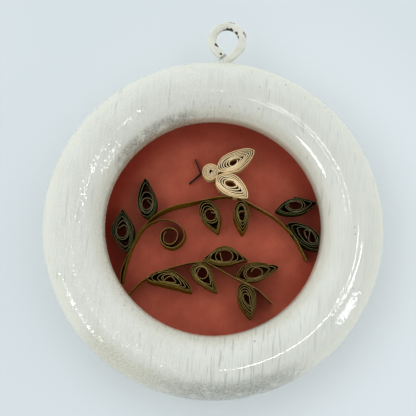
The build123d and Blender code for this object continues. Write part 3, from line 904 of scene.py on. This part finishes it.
wings = {
    "upper_wing": dict(eye=(3.39, 14.17), thickness=0.18, runs=[
        [(0.27, 12.32), (1.68, 12.06), (3.17, 12.15), (4.63, 12.77), (5.83, 13.9), (6.81, 15.18),
         (7.49, 16.63), (7.51, 17.27)],
        [(6.22, 17.57), (4.74, 17.23), (3.06, 16.61), (1.62, 15.79), (0.62, 14.79), (0.13, 13.63),
         (0.14, 12.64), (0.92, 12.26), (2.31, 12.31), (3.78, 12.66), (5, 13.53), (5.99, 14.68),
         (6.77, 15.84), (7.12, 16.97)],
        [(6.03, 17.22), (4.55, 16.82), (3.09, 16.24), (1.85, 15.57), (0.91, 14.63), (0.45, 13.65),
         (0.49, 12.86), (1.22, 12.53), (2.5, 12.54), (3.76, 12.92), (4.87, 13.8), (5.76, 14.95),
         (6.49, 16.11), (6.7, 16.79)],
        [(5.74, 16.78), (4.26, 16.39), (2.91, 15.82), (1.84, 15.19), (1.04, 14.36), (0.82, 13.57),
         (1.04, 12.93), (1.85, 12.71), (2.91, 12.79), (3.95, 13.25), (4.85, 14.11), (5.63, 15.2),
         (6.22, 16.37)],
        [(5.02, 16.26), (3.87, 15.9), (2.83, 15.42), (1.96, 14.76), (1.33, 14), (1.34, 13.28),
         (1.94, 12.93), (2.9, 13.01), (3.83, 13.46), (4.63, 14.24), (5.25, 15.11), (5.73, 15.94)],
        [(4.63, 15.81), (3.68, 15.55), (2.75, 15.08), (2, 14.39), (1.82, 13.65), (2.24, 13.22),
         (2.99, 13.21), (3.81, 13.67), (4.47, 14.43), (4.94, 15.3)],
        [(4.23, 15.4), (3.38, 15.18), (2.66, 14.77), (2.39, 14.13), (2.6, 13.56), (3.19, 13.47),
         (3.82, 13.87), (4.2, 14.49), (4.11, 14.93)],
    ]),
    "lower_wing": dict(eye=(2.88, 9.75), thickness=0.21, runs=[
        [(-0.07, 9.78), (0.32, 8.94), (1.24, 8.02), (2.46, 7.31), (3.87, 6.95), (5.26, 6.8), (6.81, 6.9)],
        [(6.65, 8.25), (5.99, 9.5), (5.05, 10.66), (3.97, 11.45), (2.56, 11.78), (1.08, 11.57),
         (0.12, 10.93), (-0.05, 10.11), (0.57, 9.05), (1.66, 8.09), (2.98, 7.48), (4.49, 7.17),
         (6.47, 7.22)],
        [(6.22, 8.36), (5.56, 9.51), (4.68, 10.5), (3.67, 11.17), (2.48, 11.44), (1.1, 11.25),
         (0.38, 10.62), (0.33, 9.86), (1, 8.91), (2.19, 8.07), (3.61, 7.57), (5, 7.47), (6.1, 7.6)],
        [(5.82, 8.51), (5.18, 9.48), (4.38, 10.31), (3.48, 10.85), (2.4, 11.11), (1.26, 10.91),
         (0.73, 10.3), (0.78, 9.57), (1.51, 8.73), (2.72, 8.15), (3.91, 7.92), (5.67, 8.02)],
        [(5.45, 8.74), (4.79, 9.56), (4.06, 10.26), (3.18, 10.63), (2.1, 10.74), (1.32, 10.37),
         (1.22, 9.73), (1.76, 9.06), (2.58, 8.58), (3.66, 8.38), (5.07, 8.66)],
        [(4.84, 9.19), (4.32, 9.84), (3.73, 10.32), (2.98, 10.48), (2.13, 10.37), (1.69, 9.92),
         (1.91, 9.35), (2.56, 8.92), (3.42, 8.84), (4.43, 9.22)],
        [(4.15, 9.85), (3.79, 10.11)],
    ]),
}
for node, wing in wings.items():
    line = pinched_line(wing["runs"])
    stand_strip(node, "cream_paper", line, wing["thickness"] * mm, eye=Vector(wing["eye"]) * mm)

antenna_thickness = 0.2 * mm
antenna_width = 1.0 * mm
antenna_steps = 12
upper_end = Vector((-4.95, 14.9)) * mm
lower_end = Vector((-5.8, 9.4)) * mm
fold = head_centre - Vector((head_radius + glue_gap + antenna_thickness, 0))
antenna_line = [upper_end.lerp(fold, i / antenna_steps) for i in range(antenna_steps)]
antenna_line += [fold.lerp(lower_end, i / antenna_steps) for i in range(antenna_steps + 1)]
stand_strip("antennae", "brown_paper", antenna_line, antenna_thickness, antenna_width)


# Table top and light: the picture lies on a pale table under a broad soft light, with a few small
# bright lamps that the gloss paint shows as thin broken lines.
clear_selection()
bpy.ops.mesh.primitive_plane_add(size=4.0, location=(0, 0, 0))
table_top = bpy.context.object
table_top.name = "table_top"
table = Finish("pale_table", Roughness=0.6)
table_tone = table.band(table.clouds(12, detail=3.0), 0.3, 0.7)
table_colour = table.mix(table_tone, (0.675, 0.745, 0.775), (0.70, 0.765, 0.795))
# Painted light: the table is painted paler round the ring, where the ring's shade falls on it.
table_colour = table.tint(table_colour, (0.77, 0.825, 0.85), table.near((8, 0, 0), 37, 62), 0.9)
table.give(Base_Color=table_colour)
table.wear(table_top)

world = bpy.data.worlds.new("soft_room")
bpy.context.scene.world = world
room = Nodes(world, "Generated")
overhead = room.band(room.along("Z"), 0.72, 0.97, 1.0, 0.12)
southward = room.band(room.along("Y"), -0.8, 0.1, 0.98, 1.45)
westward = room.band(room.along("X"), -0.9, 0.2, 1.2, 0.97)
level = room.combine("MULTIPLY", overhead, southward, clamp=False)
level = room.combine("MULTIPLY", level, westward, clamp=False)


def shone(colour, brightness):
    """A colour of light at a brightness that changes with the direction."""
    node = room.add("ShaderNodeVectorMath", {"operation": "SCALE"}, Scale=brightness)
    node.inputs[0].default_value = colour
    return node.outputs[0]


# What the camera sees of the room, straight or mirrored, is plainer than the light from it.
rays = room.add("ShaderNodeLightPath").outputs
seen = room.either(rays["Is Camera Ray"], rays["Is Glossy Ray"], rays["Is Transmission Ray"])
room_light = shone((0.97, 0.99, 1.0), level)
walls = shone((0.69, 0.755, 0.785), overhead)
sky = room.tree.nodes["Background"]
room.set(sky, "Strength", 1.0)
room.set(sky, "Color", room.mix(seen, room_light, walls))


def turn_to(fixture, place, across, up):
    """Put a lamp or the camera at a place, with its own X and Y along two directions."""
    turned = Matrix((across, up, across.cross(up))).transposed().to_4x4()
    fixture.matrix_world = Matrix.Translation(place) @ turned


def lamp(name, place, length, width, power):
    """A flat lamp that faces the picture and shows in its gloss, but adds no diffuse light."""
    light = bpy.data.lights.new(name, "AREA")
    light.shape = "RECTANGLE"
    light.size = length
    light.size_y = width
    light.energy = power
    fixture = bpy.data.objects.new(name, light)
    bpy.context.collection.objects.link(fixture)
    fixture.visible_diffuse = False
    fixture.location = place
    fixture.rotation_euler = (-Vector(place)).to_track_quat("-Z", "Y").to_euler()
    return fixture


tube_distance = 0.7


def tube(name, start, end, glow, width=0.03):
    """A straight tube lamp between two directions from the picture, each given by its X and Y."""
    start, end = [Vector((x, y, math.sqrt(1 - x * x - y * y))) * tube_distance for x, y in (start, end)]
    middle = (start + end) / 2
    length = (end - start).length
    along = (end - start).normalized()
    fixture = lamp(name, middle, length, width, glow * math.pi * width * length)
    turn_to(fixture, middle, along, middle.normalized().cross(along))


tube("tube_upper_right", (-0.11, -0.37), (-0.47, 0.08), 12, 0.018)
tube("tube_upper_left", (0.41, -0.13), (0.55, 0.15), 28)
tube("tube_right_side", (0.26, 0.15), (0.28, -0.03), 20, 0.022)
tube("tube_right_foot", (0.26, -0.03), (0.05, -0.13), 24, 0.022)
tube("tube_lower_left", (-0.20, 0.12), (-0.13, -0.18), 9)
lamp("window_right", (0.56, -0.21, 0.34), 0.12, 0.34, 1.1)
lamp("window_left", (-0.53, -0.33, 0.31), 0.26, 0.10, 1.3)

# The camera looks down on the picture, a little from below and turned.
camera_place = (0.561 * mm, -19.874 * mm, 146.99 * mm)
tilt = math.radians(9.5)
roll = math.radians(4.5)
camera = bpy.data.objects.new("camera", bpy.data.cameras.new("camera"))
bpy.context.collection.objects.link(camera)
right = Vector((math.cos(roll), math.sin(roll), 0))
up = Vector((-math.sin(roll) * math.cos(tilt), math.cos(roll) * math.cos(tilt), math.sin(tilt)))
turn_to(camera, camera_place, right, up)
camera.data.lens = 59.54
camera.data.sensor_width = 36.0
camera.data.clip_start = 0.01
bpy.context.scene.camera = camera
bpy.context.scene.view_settings.view_transform = "Standard"
